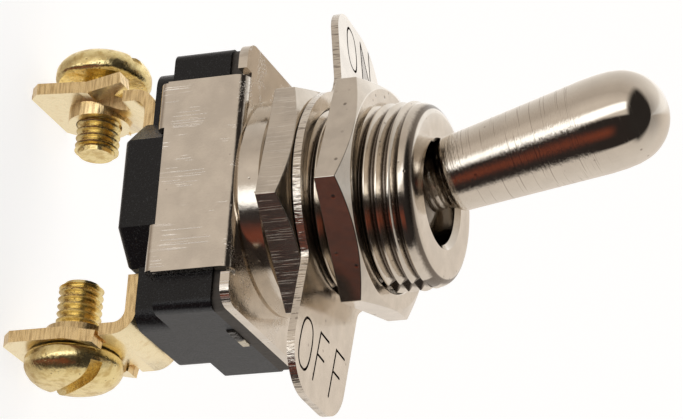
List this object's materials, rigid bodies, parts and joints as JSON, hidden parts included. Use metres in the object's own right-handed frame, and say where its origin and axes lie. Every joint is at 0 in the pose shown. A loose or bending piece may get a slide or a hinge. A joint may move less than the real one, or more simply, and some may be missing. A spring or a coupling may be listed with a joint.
{
  "type": "bat-handle toggle switch",
  "caption": "Panel-mount on-off toggle switch: bat lever in a threaded bushing with hex nuts, a legend plate, a folded steel frame, a moulded body and screw terminals.",
  "frame": {"origin": "on the bushing's axis where the free thread starts, which is the front nut's front face", "axes": "+Z along the bushing's axis, out of the panel towards the lever's tip; +X towards the OFF end of the body; +Y across the body"},
  "size_m": [0.0286, 0.0158, 0.0428],
  "materials": {
    "black_moulding": "semi-gloss phenolic moulding with a grained skin",
    "dark_fibre": "pressed insulating fibre, matt",
    "nickel_sheet": "nickel-plated folded sheet steel, lightly scratched",
    "nickel_casting": "nickel-plated, bright on the thread, faintly pitted on the lip",
    "nickel_milled": "nickel plate over fine milling lines on the flats",
    "nickel_cast_nut": "nickel plate, satin flats with a few pits",
    "nickel_plate": "nickel-plated stamped sheet with sheared edges and engraved letters",
    "nickel_turned": "bright nickel plate over fine turning marks",
    "steel_pin": "ground steel pin",
    "spring_wire": "drawn spring steel wire",
    "black_plunger": "smooth moulded plunger",
    "copper_blade": "bare stamped copper alloy blade",
    "silver_contact": "satin silver contact face",
    "brass_strip": "bare stamped brass strip",
    "brass_terminal": "pale bare brass sheet with striated sheared edges",
    "brass_rivet": "upset brass rivet",
    "brass_screw": "polished turned brass",
    "lug_metal": "bright metal lug"
  },
  "bodies": {
    "switch_body": {"housing": "black_moulding", "insulator_sheet": "dark_fibre", "frame": "nickel_sheet", "bushing": "nickel_casting", "position_plate": "nickel_plate", "fixed_contact": "silver_contact", "fixed_strip": "brass_strip", "cradle": "brass_strip", "off_terminal": "brass_terminal", "on_terminal": "brass_terminal", "off_rivet": "brass_rivet", "on_rivet": "brass_rivet", "end_lug": "lug_metal"},
    "bat_lever": {"lever": "nickel_turned", "lever_pin": "steel_pin", "lever_spring": "spring_wire"},
    "plunger_body": {"plunger": "black_plunger"},
    "rocker_body": {"rocker": "copper_blade", "rocker_contact": "silver_contact"},
    "front_nut_body": {"front_nut": "nickel_cast_nut"},
    "rear_nut_body": {"rear_nut": "nickel_milled"},
    "off_screw_body": {"off_screw": "brass_screw"},
    "on_screw_body": {"on_screw": "brass_screw"}
  },
  "joints": [
    {"name": "lever_tilt", "type": "hinge", "parent": "switch_body", "child": "bat_lever", "pos_m": [0, 0, -0.001], "axis": [0, 1, 0], "range_deg": [0, 27.7]},
    {"name": "plunger_slide", "type": "slide", "parent": "bat_lever", "child": "plunger_body", "axis": [-0.2394, 0, 0.9709], "range_m": [0, 0.0005], "stiffness_N_per_m": 300},
    {"name": "rocker_tilt", "type": "hinge", "parent": "switch_body", "child": "rocker_body", "pos_m": [0, 0, -0.01154], "axis": [0, 1, 0], "range_deg": [-16, 0]},
    {"name": "front_nut_turn", "type": "hinge", "parent": "switch_body", "child": "front_nut_body", "pos_m": [0, 0, -0.00097], "axis": [0, 0, 1], "continuous": true},
    {"name": "rear_nut_turn", "type": "hinge", "parent": "switch_body", "child": "rear_nut_body", "pos_m": [0, 0, -0.00487], "axis": [0, 0, 1], "continuous": true},
    {"name": "off_screw_turn", "type": "hinge", "parent": "switch_body", "child": "off_screw_body", "pos_m": [0.009, 0, -0.0211], "axis": [1, 0, 0], "continuous": true},
    {"name": "on_screw_turn", "type": "hinge", "parent": "switch_body", "child": "on_screw_body", "pos_m": [-0.009, 0, -0.0211], "axis": [-1, 0, 0], "continuous": true}
  ],
  "couplings": [
    {"joint": "rocker_tilt", "follows": "lever_tilt", "ratio": -0.57762}
  ]
}
